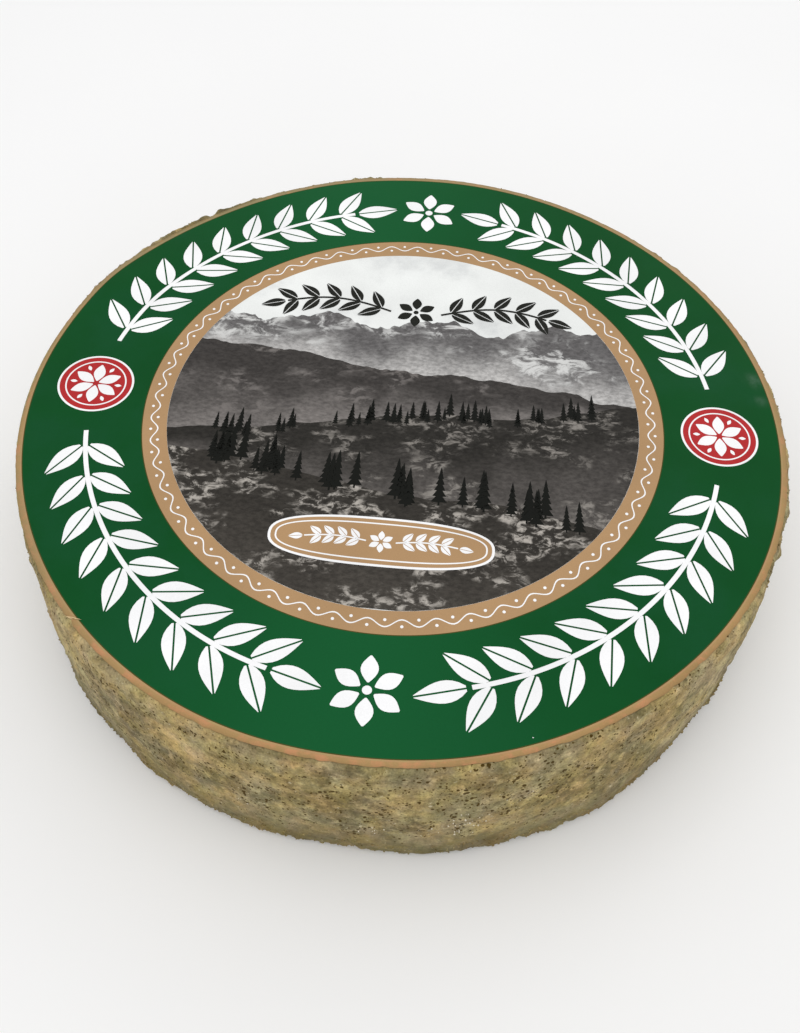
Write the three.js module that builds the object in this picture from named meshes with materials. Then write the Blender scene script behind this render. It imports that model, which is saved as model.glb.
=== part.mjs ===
// A whole wheel of raclette cheese with its round paper label pasted on top.
// Millimetres, +Z up. The origin is the centre of the flat base, and the front of the wheel faces -Y.
// Both solids are turned profiles whose vertices are then moved by the wheel's unevenness.

import * as THREE from "three";

// Driving dimensions of the cheese
const WHEEL_HEIGHT = 70;
const BASE_FLAT_RADIUS = 153.5; // the flat underside that the wheel rests on
const FOOT_RADIUS = 158.3; // the side just above the rounded lower edge
const NECK_RADIUS = 154.8; // the side just below the rounded upper edge
const SIDE_BULGE = 1.2; // how far the middle of the side stands out past the line from foot to neck
const FOOT_ROUND_HEIGHT = 4.5;
const SHOULDER_START_RADIUS = 150.5; // the flat top ends here and the shoulder starts to fall
const SHOULDER_HEIGHT = 3.5;

// Driving dimensions of the label
const LABEL_RADIUS = 153; // it reaches a little over the start of the shoulder
const LABEL_THICKNESS = 0.25; // coated paper
const PASTE_THICKNESS = 0.1; // the film of paste between rind and paper

// How finely the round forms are divided
const COLUMNS = 144; // around the axis
const FOOT_STEPS = 4;
const SIDE_STEPS = 12;
const SHOULDER_STEPS = 4; // past the label's edge
const LABEL_SHOULDER_STEPS = 2; // under the label
const TOP_RINGS = [105, 122, 138]; // radii of the rings on the flat top, where its rim swells and dips
const SAME_POINT = 0.001; // points closer than this are the same point

// The top rim isn't quite level: broad swells and dips, each with its bearing, half width and rise.
// Bearings are in degrees from +X, counted anticlockwise as seen from above.
const RIM_SWELLS = [
  { bearing: 82, width: 13, rise: 0.7 },
  { bearing: 128, width: 13, rise: -1.9 },
  { bearing: 172, width: 30, rise: 1.4 },
  { bearing: 238, width: 14, rise: -1.1 },
  { bearing: 264, width: 11, rise: 1.2 },
  { bearing: 345, width: 20, rise: -0.9 },
];

// Hollows and bulges that handling and the ripening shelves left in the side.
// Each has its bearing, its height above the base, its half sizes and how far it stands out.
const SIDE_DENTS = [
  { bearing: 318, height: 4, width: 14, tall: 26, out: -2.1 },
  { bearing: 331, height: 24, width: 9, tall: 18, out: -0.8 },
  { bearing: 355, height: 66, width: 8, tall: 20, out: -0.9 },
  { bearing: 297, height: 4, width: 8, tall: 26, out: 1.0 },
  { bearing: 274, height: 4, width: 7, tall: 20, out: 1.0 },
  { bearing: 263, height: 2, width: 7, tall: 24, out: -1.2 },
  { bearing: 239, height: 4, width: 7, tall: 20, out: 0.7 },
  { bearing: 228, height: 4, width: 9, tall: 20, out: -1.3 },
  { bearing: 209, height: 28, width: 12, tall: 28, out: -1.6 },
  { bearing: 192, height: 70, width: 18, tall: 26, out: -1.8 },
  { bearing: 60, height: 20, width: 12, tall: 30, out: -1.2 },
  { bearing: 20, height: 40, width: 9, tall: 24, out: -0.8 },
];

// Lips of rind that stand up past the label's edge, each with its bearing, half width and rise.
const RIND_LIPS = [
  { bearing: 131, width: 17, rise: 2.6 },
  { bearing: 97, width: 9, rise: 0.8 },
];
const LIP_WIDTH = 1; // how far past the label's edge a lip takes to rise
const LIP_DEPTH = 12; // how far down the side a lip reaches
const RELIEF_START = 2; // how far below the label's edge the side's relief takes to start

// Out of round: waves of the outline, WAVE_FIRST to WAVE_LAST to the turn, weaker as they get shorter.
const WAVE_FIRST = 3;
const WAVE_LAST = 8;
const OUTLINE_WAVE = 0.2;

// The crags of the rind: slanting waves over the side, each layer finer and lower than the one before.
const CRAG_LAYERS = 9;
const CRAG_FIRST = 11; // waves to the turn in the first layer
const CRAG_STEP = 4; // more waves to the turn with each layer
const CRAG_HEIGHT = 0.2;
const GOLDEN_ANGLE = Math.PI * (3 - Math.sqrt(5)); // sets the waves' phases apart without repeating

const flat = (x, y) => new THREE.Vector2(x, y);
const shortestTurn = (degrees) => THREE.MathUtils.euclideanModulo(degrees + 180, 360) - 180;
const hump = (distance) => Math.exp(-distance * distance);

// The sum of a list of humps around the wheel at a bearing in radians.
function around(humps, bearing) {
  const degrees = THREE.MathUtils.radToDeg(bearing);
  const height = (one) => one.rise * hump(shortestTurn(degrees - one.bearing) / one.width);
  return humps.reduce((sum, one) => sum + height(one), 0);
}

// How far the top surface lies above its level plane, at a bearing in radians and a radius.
function rimSwell(bearing, radius) {
  const reach = THREE.MathUtils.smoothstep(radius, TOP_RINGS[0], SHOULDER_START_RADIUS);
  return around(RIM_SWELLS, bearing) * reach;
}

// How far the side stands out past its turned profile, at a bearing in radians and a height.
function sideRelief(bearing, height) {
  const degrees = THREE.MathUtils.radToDeg(bearing);
  let out = 0;
  for (let wave = WAVE_FIRST; wave <= WAVE_LAST; wave++) {
    out += ((OUTLINE_WAVE * WAVE_FIRST) / wave) * Math.cos(wave * bearing + wave * GOLDEN_ANGLE);
  }
  for (let layer = 0; layer < CRAG_LAYERS; layer++) {
    const waves = CRAG_FIRST + layer * CRAG_STEP;
    const up = ((layer % 3) - 1) * (1 + layer / CRAG_LAYERS);
    const phase = layer * GOLDEN_ANGLE + (2 * Math.PI * up * height) / WHEEL_HEIGHT;
    out += (CRAG_HEIGHT / (1 + layer / 3)) * Math.cos(waves * bearing + phase);
  }
  for (const dent of SIDE_DENTS) {
    const across = hump(shortestTurn(degrees - dent.bearing) / dent.width);
    out += dent.out * across * hump((height - dent.height) / dent.tall);
  }
  return out;
}

// The shoulder's curve, from the edge of the flat top down to the side.
const shoulder = new THREE.QuadraticBezierCurve(
  flat(SHOULDER_START_RADIUS, WHEEL_HEIGHT),
  flat(NECK_RADIUS, WHEEL_HEIGHT),
  flat(NECK_RADIUS, WHEEL_HEIGHT - SHOULDER_HEIGHT),
);
// The place along the shoulder where it reaches the label's radius: radius = neck - (neck - start)(1 - t)^2.
const labelPlace = 1 - Math.sqrt((NECK_RADIUS - LABEL_RADIUS) / (NECK_RADIUS - SHOULDER_START_RADIUS));
const labelEdge = shoulder.getPoint(labelPlace);
const stepsBetween = (from, to, steps) =>
  Array.from({ length: steps }, (_, i) => shoulder.getPoint(from + ((to - from) * (i + 1)) / steps));
const underLabel = [shoulder.getPoint(0), ...stepsBetween(0, labelPlace, LABEL_SHOULDER_STEPS)];
const pastLabel = stepsBetween(labelPlace, 1, SHOULDER_STEPS);

// The side's curve, from the rounded foot up to the neck, a little barrelled.
const sideMiddle = flat(
  (FOOT_RADIUS + NECK_RADIUS) / 2 + 2 * SIDE_BULGE,
  (FOOT_ROUND_HEIGHT + WHEEL_HEIGHT - SHOULDER_HEIGHT) / 2,
);
const side = new THREE.QuadraticBezierCurve(
  flat(FOOT_RADIUS, FOOT_ROUND_HEIGHT),
  sideMiddle,
  flat(NECK_RADIUS, WHEEL_HEIGHT - SHOULDER_HEIGHT),
);

// The rounded lower edge, from the flat base out to the side.
const foot = new THREE.QuadraticBezierCurve(
  flat(BASE_FLAT_RADIUS, 0),
  flat(FOOT_RADIUS, 0),
  flat(FOOT_RADIUS, FOOT_ROUND_HEIGHT),
);

// The cheese's half section, from the middle of the base out, up and back to the middle of the top.
function wheelProfile() {
  return [
    flat(0, 0),
    ...foot.getPoints(FOOT_STEPS),
    ...side.getPoints(SIDE_STEPS).slice(1),
    ...pastLabel.slice(0, -1).reverse(),
    ...[...underLabel].reverse(),
    ...TOP_RINGS.map((radius) => flat(radius, WHEEL_HEIGHT)).reverse(),
    flat(0, WHEEL_HEIGHT),
  ];
}

// The label's half section: out along its underside on the paste, then back along its printed face.
function labelProfile() {
  const rings = [
    flat(0, WHEEL_HEIGHT),
    ...TOP_RINGS.map((radius) => flat(radius, WHEEL_HEIGHT)),
    ...underLabel,
  ];
  const lifted = (by) => rings.map((point) => flat(point.x, point.y + by));
  return [...lifted(PASTE_THICKNESS), ...lifted(PASTE_THICKNESS + LABEL_THICKNESS).reverse()];
}

// Turns a half section about Z and moves each vertex by move(point, bearing, radius).
function turned(profile, move) {
  const geometry = new THREE.LatheGeometry(profile, COLUMNS);
  geometry.rotateX(Math.PI / 2);
  const positions = geometry.getAttribute("position");
  const point = new THREE.Vector3();
  for (let i = 0; i < positions.count; i++) {
    point.fromBufferAttribute(positions, i);
    move(point, Math.atan2(point.y, point.x), Math.hypot(point.x, point.y));
    positions.setXYZ(i, point.x, point.y, point.z);
  }
  geometry.computeVertexNormals();
  return geometry;
}

// Lifts or lowers a point of the top with the rim's swells.
function followRim(point, bearing, radius) {
  point.z += rimSwell(bearing, radius);
}

// Moves a point of the cheese: the rim's swells on the upper half, and the rind's relief on the side.
// The relief leaves the flat base level and starts only past the label's edge.
function unevenRind(point, bearing, radius) {
  const height = point.z;
  if (height > WHEEL_HEIGHT / 2 && radius < LABEL_RADIUS + SAME_POINT) {
    followRim(point, bearing, radius);
    return;
  }
  const upper = THREE.MathUtils.smoothstep(height, WHEEL_HEIGHT / 2, labelEdge.y);
  const belowLabel = 1 - THREE.MathUtils.smoothstep(height, labelEdge.y - RELIEF_START, labelEdge.y);
  const pastEdge = THREE.MathUtils.smoothstep(radius, LABEL_RADIUS, LABEL_RADIUS + LIP_WIDTH);
  const lipReach = pastEdge * THREE.MathUtils.smoothstep(height, WHEEL_HEIGHT - LIP_DEPTH, labelEdge.y);
  const stretch = radius > 0 ? 1 + (sideRelief(bearing, height) * belowLabel) / radius : 1;
  point.x *= stretch;
  point.y *= stretch;
  point.z += rimSwell(bearing, SHOULDER_START_RADIUS) * upper + around(RIND_LIPS, bearing) * lipReach;
}

function cheeseWheel() {
  const rind = new THREE.MeshStandardMaterial({ color: 0x9c8d66, roughness: 0.7, metalness: 0 });
  const mesh = new THREE.Mesh(turned(wheelProfile(), unevenRind), rind);
  mesh.name = "cheese_wheel";
  return mesh;
}

function paperLabel() {
  const print = new THREE.MeshStandardMaterial({ color: 0x1e5a2c, roughness: 0.4, metalness: 0 });
  const mesh = new THREE.Mesh(turned(labelProfile(), followRim), print);
  mesh.name = "paper_label";
  return mesh;
}

const racletteWheel = new THREE.Group();
racletteWheel.name = "raclette_wheel";
racletteWheel.add(cheeseWheel(), paperLabel());

export default racletteWheel;
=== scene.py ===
"""A whole raclette wheel with its natural rind, its printed paper label and the crumbs on its foot.

Every piece is a surface worked out with numpy: a function of two parameters on a grid. Sizes are in
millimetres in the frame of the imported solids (origin at the centre of the base, +Z up, front towards -Y) and
become metres only when a mesh is made. Bearings are degrees from +X, anticlockwise as seen from above.
"""
import math

import bpy
import numpy as np
from mathutils import Matrix, Vector


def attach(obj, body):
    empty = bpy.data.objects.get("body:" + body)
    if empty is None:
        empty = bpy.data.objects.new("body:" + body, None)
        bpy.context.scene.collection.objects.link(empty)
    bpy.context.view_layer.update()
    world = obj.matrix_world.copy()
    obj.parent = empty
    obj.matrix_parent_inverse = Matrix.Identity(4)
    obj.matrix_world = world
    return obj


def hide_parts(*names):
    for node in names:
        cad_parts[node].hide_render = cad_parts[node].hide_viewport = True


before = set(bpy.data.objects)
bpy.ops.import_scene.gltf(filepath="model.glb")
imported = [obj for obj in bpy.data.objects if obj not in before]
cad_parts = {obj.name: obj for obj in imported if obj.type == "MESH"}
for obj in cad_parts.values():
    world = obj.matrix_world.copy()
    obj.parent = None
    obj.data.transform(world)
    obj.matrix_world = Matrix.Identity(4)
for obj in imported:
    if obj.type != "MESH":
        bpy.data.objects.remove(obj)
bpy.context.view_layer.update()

MM = 0.001
SEED = 20

# Sizes of the solids, the same values as in the part's source
WHEEL_HEIGHT = 70
BASE_FLAT_RADIUS = 153.5
FOOT_RADIUS = 158.3
NECK_RADIUS = 154.8
SIDE_BULGE = 1.2
FOOT_ROUND_HEIGHT = 4.5
SHOULDER_START_RADIUS = 150.5
SHOULDER_HEIGHT = 3.5
LABEL_RADIUS = 153
LABEL_THICKNESS = 0.25
PASTE_THICKNESS = 0.1
SWELL_START_RADIUS = 105

# Swells and dips of the top rim: bearing, half width in degrees, rise
RIM_SWELLS = [
    (82, 13, 0.7), (128, 13, -1.9), (172, 30, 1.4),
    (238, 14, -1.1), (264, 11, 1.2), (345, 20, -0.9),
]

# Hollows and bulges of the side: bearing, height, half width in degrees, half height, how far it stands out
SIDE_DENTS = [
    (318, 4, 14, 26, -2.1),
    (331, 24, 9, 18, -0.8),
    (355, 66, 8, 20, -0.9),
    (297, 4, 8, 26, 1.0),
    (274, 4, 7, 20, 1.0),
    (263, 2, 7, 24, -1.2),
    (239, 4, 7, 20, 0.7),
    (228, 4, 9, 20, -1.3),
    (209, 28, 12, 28, -1.6),
    (192, 70, 18, 26, -1.8),
    (60, 20, 12, 30, -1.2),
    (20, 40, 9, 24, -0.8),
]

# Slight corrections that only the look has: swells of the rim, and dents of the side, in the orders above
RIM_CORRECTIONS = [(128, 14, 1.4), (151, 8, 1.3), (101, 10, 0.6), (66, 12, 0.4)]
SIDE_CORRECTIONS = [
    (273, 3, 9, 20, -0.9), (334, 24, 9, 34, -1.4), (220, 6, 5, 20, 0.6), (206, 20, 5, 26, -0.6),
]

# Lips of rind that stand up past the label's edge: bearing, half width in degrees, rise
RIND_LIPS = [(131, 17, 2.6), (97, 9, 0.8)]
LIP_WIDTH = 1
LIP_DEPTH = 12
RELIEF_START = 2

# Waves of the outline and of the crags, as in the part's source
WAVE_FIRST = 3
WAVE_LAST = 8
OUTLINE_WAVE = 0.2
CRAG_LAYERS = 9
CRAG_FIRST = 11
CRAG_STEP = 4
CRAG_HEIGHT = 0.2
GOLDEN_ANGLE = math.pi * (3 - math.sqrt(5))

# Fineness of the rind's grid
RIND_COLUMNS = 1200
FOOT_ROWS = 8
SIDE_ROWS = 58
SHOULDER_ROWS = 8
LABEL_EDGE_ROW = FOOT_ROWS + SIDE_ROWS + 5

# Radii of the rings that close the cheese's top under the label
HIDDEN_RINGS = (138, 122, SWELL_START_RADIUS)

# How much of the shoulder's fall the stiff paper follows
LABEL_BEND = 0.5

# The label's printed rings, by outer radius
PICTURE_RADIUS = 95
INNER_RING_RADIUS = 105
BAND_RADIUS = 150.3
PRINT_LINE = 0.35
LABEL_COLUMNS = 960
LABEL_RING_STEP = 3
LABEL_TURN = -4.5
PAPER_WAVE = 0.05
BORDER_TINT_RADIUS = 151.3
LABEL_UNDER_RADIUS = 150

# Printing ink: how far its top lies above the paper, how thick it is, and how far one layer lies over another
INK_LIFT = 0.035
INK_THICKNESS = 0.06
INK_STEP = 0.02

# Patches of the rind: bearing, height, half width in degrees, half height, strength
GREY_PATCHES = [
    (227, 45, 5, 12, 0.8), (235.5, 56, 4.5, 10, 1.0), (235, 35, 5, 10, 0.7), (249, 60, 4, 6, 0.7),
    (249, 36, 4, 9, 0.8), (263, 46, 7, 12, 1.0), (268, 65, 5, 3, 0.8), (270, 30, 5, 9, 1.0),
    (293, 44, 5, 9, 0.8), (298, 30, 7, 8, 0.7), (306, 60, 5, 6, 0.8), (130, 71, 24, 4, 0.8),
    (341, 66, 3, 4, 1.0), (332, 67, 2, 3, 1.0), (60, 45, 9, 14, 0.7), (95, 30, 10, 12, 0.6),
    (20, 35, 8, 14, 0.6), (168, 42, 8, 13, 0.7), (195, 30, 7, 10, 0.6),
]
PEACH_PATCHES = [
    (242, 50, 3.5, 6, 1.0), (240, 55, 3, 4, 0.7), (258, 66, 4, 2.5, 0.8), (260, 46, 2, 4, 0.5),
    (254, 57, 2.5, 4, 0.5), (300, 63, 5, 4, 0.5), (222, 64, 4, 4, 0.7), (283, 26, 6, 6, 0.4),
    (214, 55, 5, 8, 0.5), (318, 60, 5, 6, 0.6),
]
# The same, for patches that are lighter or darker than the rest: the strength is the change in lightness
TONE_PATCHES = [
    (235.5, 57, 4, 9, -0.2), (243, 61, 4, 4, -0.2), (242, 47, 3.5, 7, 0.22), (235, 34, 7, 10, -0.1),
    (249, 58, 4, 6, -0.08), (264, 24, 7, 10, -0.1), (270.5, 32, 4, 9, -0.27), (278, 58, 4, 7, 0.2),
    (279, 44, 5, 7, 0.34), (286, 42, 4, 7, 0.16), (291, 59, 4, 6, 0.14), (306, 31, 4, 8, 0.12),
    (131, 67.6, 17, 1.4, -0.35),
]
MOIST_PATCHES = [
    (279, 31, 4, 9, 1.0), (249, 29, 1.5, 3, 0.8), (287, 46, 1.5, 3, 0.8), (268, 24, 3, 4, 0.7),
]

# Patches with fewer specks, in the same order
QUIET_PATCHES = [(326, 45, 18, 40, 0.45)]

# Patches of a cooler, greyer hue, in the same order
COOL_PATCHES = [(220, 24, 6, 18, 0.9), (267, 48, 5, 22, 0.5), (317, 36, 6, 30, 0.8), (60, 30, 12, 24, 0.7)]

# Hues that the rind's colour drifts between, as factors of red, green and blue
COOL_HUE = (0.953, 1.0, 1.144, 1)
WARM_HUE = (1.048, 1.0, 0.868, 1)
PINK_HUE = (1.0, 0.96, 1.0, 1)
GREEN_HUE = (1.0, 1.04, 1.0, 1)

# The torn lip of rind at the back: how much of it is left, how ragged it is, its ragged steps per radius
LIP_SHARE = 0.62
LIP_RAGGED = 0.3
LIP_STEPS = 45

# Gaps in that lip: bearing, half width in degrees, strength; and how much of the lip a gap takes
LIP_GAPS = [(127.3, 0.6, 1), (116, 0.8, 1)]
LIP_GAP_DEPTH = 0.85

# Bits of rind that stick out: bearing, height, half width in degrees, half height, how far out
RIND_BITS = [
    (337, 62, 0.7, 4, 1.7), (344, 64, 0.5, 3, 1.1), (322.5, 6, 0.5, 2.5, 1.5), (218, 14, 0.8, 3, 0.9),
    (352, 66, 0.5, 2, 0.8), (125.6, 68, 0.5, 2, 0.7), (128.6, 68, 0.6, 2, 0.6), (135.3, 68, 0.4, 2, 0.5),
    (119, 68, 0.5, 2, 0.8), (204, 60, 0.5, 2, 0.7),
]

# Small seeded bits of rind: how many, and their ranges in the same order
SMALL_BITS = 360
SMALL_BIT_RANGES = [(0, 360), (3, 66), (0.25, 0.55), (0.8, 2), (0.3, 1.0)]

# The rough rim past the label's edge: its grain's width, how far it rises, how much of it stays at the front,
# the sines of bearing between which it fades, what is added to its grain, and how far down it reaches
RIM_GRANULE = 2.2
RIM_ROUGHNESS = 1.3
RIM_FRONT_SHARE = 0.35
RIM_FADE = (-0.35, 0.1)
RIM_BIAS = 0.15
RIM_DEPTH = 5

# Scattered pits: how many, how many steps of the grid each one reaches, the lowest one's height, the span of
# their heights and how they crowd upwards; ranges of half width, its share upwards, depth per width, darkness
PIT_COUNT = 2200
PIT_REACH = 4
PIT_LOWEST = 4
PIT_SPAN = WHEEL_HEIGHT - 7
PIT_CROWDING = 0.7
PIT_HALF_WIDTH = (0.45, 1.15)
PIT_FLATNESS = (0.5, 0.9)
PIT_DEPTH = (0.12, 0.4)
PIT_DARKNESS = (0.3, 1)

# Heights between which the painted shade of the foot fades, and between which the specks reach their full
# number
FOOT_SHADE_HEIGHTS = (3, 32)
SPECK_HEIGHTS = (6, 28)
FOOT_SPECKS = 0.4

# The rim left of a bearing has fewer specks: how many fewer, from and to which heights, the bearing, its fade
CLEAR_RIM = 0.5
CLEAR_HEIGHTS = (63, 68)
CLEAR_BEARING = 275
CLEAR_FADE = 10

# Granules on the foot and on the rim: how many, their rows of the grid and their sizes
FOOT_GRANULES = 2100
FOOT_GRANULE_ROWS = (3, FOOT_ROWS + 7)
FOOT_GRANULE_SIZES = (0.22, 0.6)
RIM_GRANULES = 800
RIM_GRANULE_ROWS = (LABEL_EDGE_ROW - 9, LABEL_EDGE_ROW)
RIM_GRANULE_SIZES = (0.15, 0.42)
# The numbers that the granules carry for the rind's finish, with half of the foot's painted shade
GRANULE_TINTS = {
    "grey": 0.3, "peach": 0.1, "cool": 0.0, "moist": 0.0,
    "foot_shade": 0.5, "speckled": 0.5, "hollow": 0.0, "tone": 0.0,
}

# Drops on the moist patches: how many per patch area, their sizes, their lowest row, the stretch of the rows
BEADS_PER_AREA = 0.9
BEAD_SIZES = (0.15, 0.45)
BEAD_LOWEST_ROW = 4
BEAD_ROW_STRETCH = 1.1

# Where the label's border is greyer in patches, a painted shade: bearing, half width in degrees, strength
SHADED_BORDER = [(128, 42, 0.95), (55, 35, 0.5), (5, 22, 0.25), (207, 18, 0.4)]

# Where the green band is brighter, a painted sheen: bearing, half width in degrees, strength
SHEEN_BAND = [(98, 24, 1.0), (263, 26, 1.0)]

# Pale spots of the green band, painted highlights: bearing, radius, half width in degrees and along the
# radius, strength
HIGHLIGHT_SPOTS = [(8.2, 148, 1.3, 2.4, 1.0), (3.8, 148, 0.9, 2, 0.8)]

# The paper's edge lies further in on this side: bearing, half width in degrees, how far in
PAPER_INSET = (174, 17, 0.9)
INSET_HEIGHTS = (52, 66)

# The paper's cut edge: how far past the solid's edge it lies, its wander as steps per radius and swing, and
# its nick as bearing, half width in degrees and depth
EDGE_OFFSET = 0.1
EDGE_WANDER = [(9, 0.35), (60, 0.5)]
EDGE_NICK = (221.6, 0.35, 1.0)

# The frayed fibre: its two strips from one radius and bearing to another, their bow in degrees, half width,
# lift, arch and thickness
SLIVER_STRIPS = [((153.2, 220.7), (151.9, 221.9)), ((153.1, 220.8), (149.8, 222.6))]
SLIVER_STEPS = 9
SLIVER_BOW = 0.12
SLIVER_HALF_WIDTH = 0.15
SLIVER_LIFT = 0.12
SLIVER_ARCH = 0.35
SLIVER_THICKNESS = 0.12

# The white speck on the green band
FLECK_RADIUS = 148.3
FLECK_BEARING = 287.5
FLECK_SIZE = 0.22

# Rows of dark pits along the shoulder: bearing, height, length, height of the row, depth
CRACKS = [
    (257.5, 66.2, 1.9, 0.5, 0.5), (259.2, 66.4, 1.2, 0.5, 0.5),
    (312, 64.6, 1.6, 0.7, 0.6), (314, 65.2, 1.2, 0.7, 0.6),
]


def smooth(value, start, end):
    """Rises from 0 at start to 1 at end along 3t^2 - 2t^3."""
    t = np.clip((value - start) / (end - start), 0, 1)
    return t * t * (3 - 2 * t)


def hump(distance):
    """A bell: e to the minus distance squared."""
    return np.exp(-distance * distance)


def turn_between(degrees, bearing):
    """The shortest signed turn from a bearing to an angle, in degrees."""
    return (degrees - bearing + 180) % 360 - 180


def lattice_random(i, j, k, seed):
    """One number from -1 to 1 for each whole-number lattice point, by multiplying and folding bits."""
    with np.errstate(over="ignore"):
        bits = i.astype(np.uint32) * np.uint32(73856093)
        bits ^= j.astype(np.uint32) * np.uint32(19349663)
        bits ^= k.astype(np.uint32) * np.uint32(83492791)
        bits ^= np.uint32(seed * 2654435761 % 2**32)
        bits ^= bits >> np.uint32(13)
        bits *= np.uint32(1540483477)
        bits ^= bits >> np.uint32(15)
        bits *= np.uint32(2246822519)
        bits ^= bits >> np.uint32(14)
    return bits.astype(np.float64) / 2**31 - 1


def grain(x, y, z, seed):
    """Gradient noise: each lattice corner's random slope times the offset from it, in quintic weights."""
    x, y, z = np.broadcast_arrays(x, y, z)
    i, j, k = (np.floor(a).astype(np.int64) for a in (x, y, z))
    fx, fy, fz = x - i, y - j, z - k
    wx, wy, wz = (f**3 * (f * (f * 6 - 15) + 10) for f in (fx, fy, fz))
    total = np.zeros(x.shape)
    for dx in (0, 1):
        for dy in (0, 1):
            for dz in (0, 1):
                corner = (i + dx, j + dy, k + dz)
                slope = lattice_random(*corner, seed) * (fx - dx)
                slope += lattice_random(*corner, seed + 101) * (fy - dy)
                slope += lattice_random(*corner, seed + 202) * (fz - dz)
                weight = np.where(dx, wx, 1 - wx) * np.where(dy, wy, 1 - wy) * np.where(dz, wz, 1 - wz)
                total += weight * slope
    return total


def grain_round(bearing, steps, level, seed):
    """Noise round the wheel: gradient noise on a circle whose radius is so many lattice steps."""
    return grain(np.cos(bearing) * steps, np.sin(bearing) * steps, level, seed)


def polar(radius, angle):
    """Points x, y at radii and at angles in radians."""
    return np.stack([radius * np.cos(angle), radius * np.sin(angle)], -1)


def curve_between(start, pull, end, steps):
    """Points of the parabola from start to end that leaves both along the lines to pull."""
    t = np.linspace(0, 1, steps + 1)[:, None]
    start, pull, end = (np.array(p, float) for p in (start, pull, end))
    return start * (1 - t) ** 2 + 2 * pull * t * (1 - t) + end * t**2


def shoulder_drop(radius):
    """The shoulder's fall at a radius: radius = neck - (neck - start)(1 - t)^2, fall = height t^2."""
    left = np.clip((NECK_RADIUS - radius) / (NECK_RADIUS - SHOULDER_START_RADIUS), 0, 1)
    return SHOULDER_HEIGHT * (1 - np.sqrt(left)) ** 2


LABEL_EDGE_HEIGHT = WHEEL_HEIGHT - float(shoulder_drop(np.array(LABEL_RADIUS)))


def around(humps, bearing):
    """The sum of bells round the wheel at bearings in radians."""
    degrees = np.degrees(bearing)
    return sum(rise * hump(turn_between(degrees, at) / width) for at, width, rise in humps)


def rim_swell(bearing, radius):
    """How far the top lies above its level plane: the rim's bells, fading in from the inner ring outwards."""
    fade_in = smooth(radius, SWELL_START_RADIUS, SHOULDER_START_RADIUS)
    return around(RIM_SWELLS + RIM_CORRECTIONS, bearing) * fade_in


def side_relief(bearing, height):
    """How far the side stands out: waves of the outline, slanting waves of the crags, bells of the dents."""
    degrees = np.degrees(bearing)
    out = np.zeros(np.broadcast(bearing, height).shape)
    for wave in range(WAVE_FIRST, WAVE_LAST + 1):
        out += OUTLINE_WAVE * WAVE_FIRST / wave * np.cos(wave * bearing + wave * GOLDEN_ANGLE)
    for layer in range(CRAG_LAYERS):
        waves = CRAG_FIRST + layer * CRAG_STEP
        up = (layer % 3 - 1) * (1 + layer / CRAG_LAYERS)
        phase = layer * GOLDEN_ANGLE + 2 * math.pi * up * height / WHEEL_HEIGHT
        out += CRAG_HEIGHT / (1 + layer / 3) * np.cos(waves * bearing + phase)
    for at, middle, width, tall, stand in SIDE_DENTS + SIDE_CORRECTIONS:
        out += stand * hump(turn_between(degrees, at) / width) * hump((height - middle) / tall)
    return out


def label_face(x, y):
    """Height of the label's printed face: the top, its swells, the shoulder's fall and the paper's waves."""
    radius = np.hypot(x, y)
    bearing = np.arctan2(y, x)
    waves = grain(x / 38, y / 38, 0.5, SEED) + 0.5 * grain(x / 17, y / 17, 1.5, SEED)
    paper = PAPER_WAVE * np.clip(0.5 + 0.5 * waves, 0, 1)
    level = WHEEL_HEIGHT + PASTE_THICKNESS + LABEL_THICKNESS + rim_swell(bearing, radius)
    return level - LABEL_BEND * shoulder_drop(radius) + paper


# Meshes from arrays

def grid_quads(rows, columns, wrap=False, first=0):
    """Quads of a grid numbered row by row from first; with wrap the last column joins the first one."""
    index = np.arange(rows * columns).reshape(rows, columns) + first
    left = index if wrap else index[:, :-1]
    right = np.roll(index, -1, axis=1) if wrap else index[:, 1:]
    return np.stack([left[:-1], right[:-1], right[1:], left[1:]], -1).reshape(-1, 4)


def fan_triangles(ring, hub, turn):
    """Triangles from a hub vertex to a closed ring of vertices; turn 1 or -1 sets which way they face."""
    following = np.roll(ring, -turn)
    return np.stack([np.full_like(ring, hub), ring, following], -1)


def mesh_piece(
    name, points, faces, finishes, finish_index=None, replaces=None, flat=False
):
    """Puts points in millimetres and faces into a new object that rides on the wheel."""
    mesh = bpy.data.meshes.new(name)
    mesh.from_pydata((np.asarray(points) * MM).tolist(), [], faces)
    for finish in finishes:
        mesh.materials.append(finish)
    if finish_index is not None:
        mesh.polygons.foreach_set("material_index", np.asarray(finish_index, np.int32))
    mesh.polygons.foreach_set("use_smooth", np.full(len(faces), not flat))
    mesh.update()
    piece = bpy.data.objects.new(name, mesh)
    bpy.context.scene.collection.objects.link(piece)
    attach(piece, "root")
    if replaces:
        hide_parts(replaces)
    return piece


def store(piece, name, values):
    """Keeps one number with each point of a piece's mesh, for its material to read."""
    piece.data.attributes.new(name, "FLOAT", "POINT").data.foreach_set("value", values)


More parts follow.
